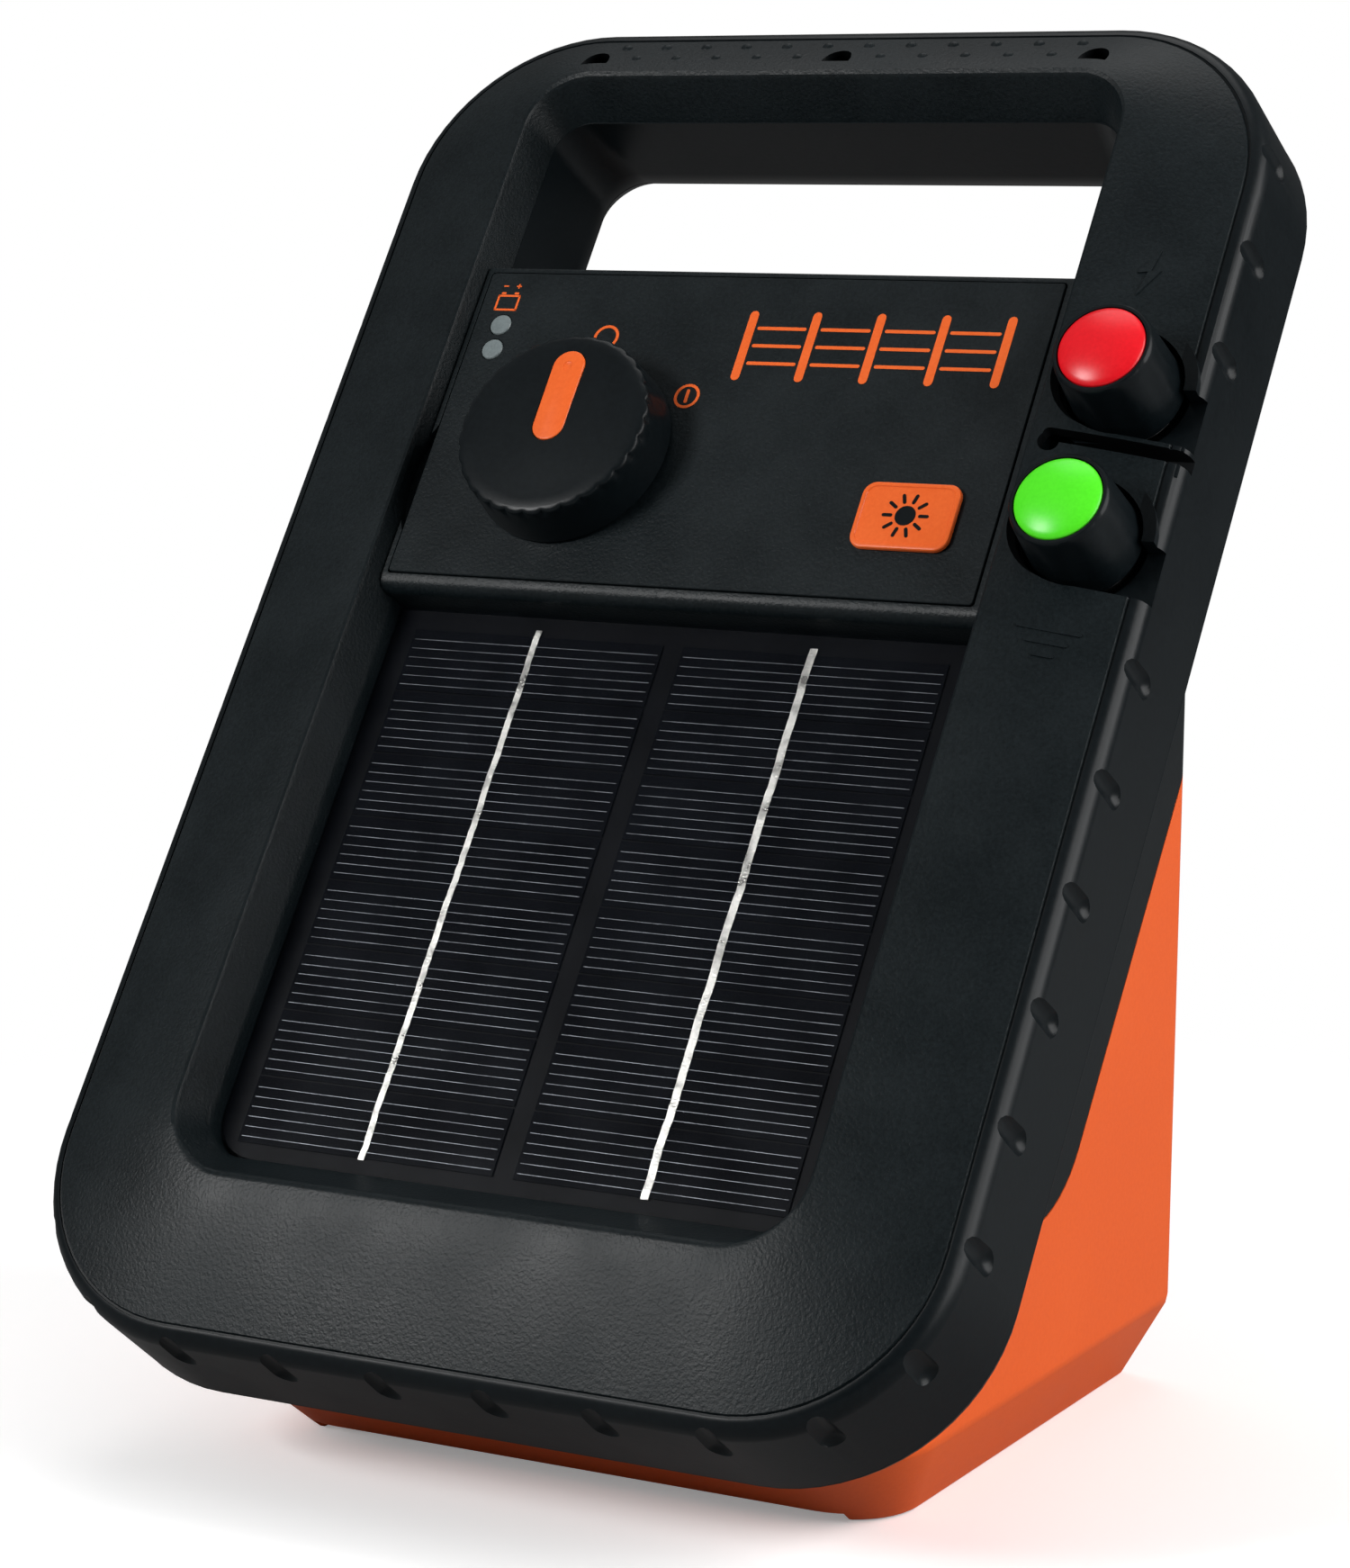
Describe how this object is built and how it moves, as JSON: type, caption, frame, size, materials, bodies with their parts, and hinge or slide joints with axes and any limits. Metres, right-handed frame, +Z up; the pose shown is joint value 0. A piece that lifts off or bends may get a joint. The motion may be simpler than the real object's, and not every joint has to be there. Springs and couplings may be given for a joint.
{
  "type": "solar electric fence energizer",
  "caption": "Leaning solar fence energizer: dark frame with carry handle, control panel and solar panel on a wedge-shaped orange base, with fence and earth terminals.",
  "frame": {"origin": "centre of the bounding box's underside, on the ground under the feet", "axes": "+X to the viewer's right, the panel faces -Y and leans back 35.7 degrees from vertical, +Z up"},
  "size_m": [0.1916, 0.1929, 0.268],
  "materials": {
    "black_textured": "fine textured, matte",
    "black_satin": "moulded, satin",
    "orange_plastic": "moulded, satin",
    "accent_orange": "moulded, satin",
    "live_red": "semi-gloss",
    "earth_green": "semi-gloss",
    "lens_grey": "translucent, unlit",
    "solar_cell": "dark, laminated",
    "backsheet": "matte",
    "clear_cover": "clear, lightly frosted",
    "tinned_copper": "bright, slightly crinkled",
    "steel": "plated",
    "seal_rubber": "matte",
    "circuit_board": "solder mask",
    "ferrite": "sintered, matte",
    "copper_winding": "enamelled wire",
    "capacitor_can": "sleeved",
    "battery_case": "moulded",
    "foam": "closed-cell foam"
  },
  "bodies": {
    "housing": {"front_bezel": "black_textured", "control_fascia": "black_textured", "rear_shell": "black_satin", "base_housing": "orange_plastic", "badge_plate": "accent_orange", "rotary_switch": "ferrite", "led_lens_upper": "lens_grey", "led_lens_lower": "lens_grey", "solar_cover": "clear_cover", "solar_backsheet": "backsheet", "panel_gasket": "seal_rubber", "cell_column_left": "solar_cell", "cell_column_right": "solar_cell", "ribbon_left": "tinned_copper", "ribbon_right": "tinned_copper", "live_stud": "steel", "live_contact_plate": "steel", "earth_stud": "steel", "earth_contact_plate": "steel", "circuit_board": "circuit_board", "transformer_core": "ferrite", "transformer_winding": "copper_winding", "storage_capacitor": "capacitor_can", "battery": "battery_case", "battery_tab_negative": "tinned_copper", "battery_tab_positive": "tinned_copper", "battery_foam_pad": "foam", "case_seal": "seal_rubber", "live_lead": "live_red", "earth_lead": "earth_green", "solar_lead": "seal_rubber", "handle_screw_1": "steel", "handle_screw_2": "steel", "handle_screw_3": "steel", "case_screw_1": "steel", "board_screw_1": "steel", "case_screw_2": "steel", "board_screw_2": "steel", "case_screw_3": "steel", "board_screw_3": "steel", "case_screw_4": "steel", "board_screw_4": "steel", "base_screw_1": "steel", "base_screw_2": "steel"},
    "control_knob": {"rotary_knob": "black_satin", "knob_pointer": "accent_orange", "switch_shaft": "steel"},
    "live_clamp": {"live_clamp_washer": "steel"},
    "live_clamp_knob": {"live_knob": "black_satin", "live_knob_cap": "live_red"},
    "earth_clamp": {"earth_clamp_washer": "steel"},
    "earth_clamp_knob": {"earth_knob": "black_satin", "earth_knob_cap": "earth_green"}
  },
  "joints": [
    {"name": "control_knob_turn", "type": "hinge", "parent": "housing", "child": "control_knob", "pos_m": [-0.0303, 0.01051, 0.18718], "axis": [0, 0.8121, -0.5835], "range_deg": [0, 55]},
    {"name": "live_clamp_lift", "type": "slide", "parent": "housing", "child": "live_clamp", "axis": [0, -0.8121, 0.5835], "range_m": [0, 0.003]},
    {"name": "live_knob_turn", "type": "hinge", "parent": "live_clamp", "child": "live_clamp_knob", "pos_m": [0.0798, 0.02235, 0.20367], "axis": [0, -0.8121, 0.5835], "range_deg": [0, 1080]},
    {"name": "earth_clamp_lift", "type": "slide", "parent": "housing", "child": "earth_clamp", "axis": [0, -0.8121, 0.5835], "range_m": [0, 0.003]},
    {"name": "earth_knob_turn", "type": "hinge", "parent": "earth_clamp", "child": "earth_clamp_knob", "pos_m": [0.0798, 0.00356, 0.17752], "axis": [0, -0.8121, 0.5835], "range_deg": [0, 1080]}
  ],
  "couplings": [
    {"joint": "live_knob_turn", "follows": "live_clamp_lift", "rad_per_m": 6283.2},
    {"joint": "earth_knob_turn", "follows": "earth_clamp_lift", "rad_per_m": 6283.2}
  ]
}
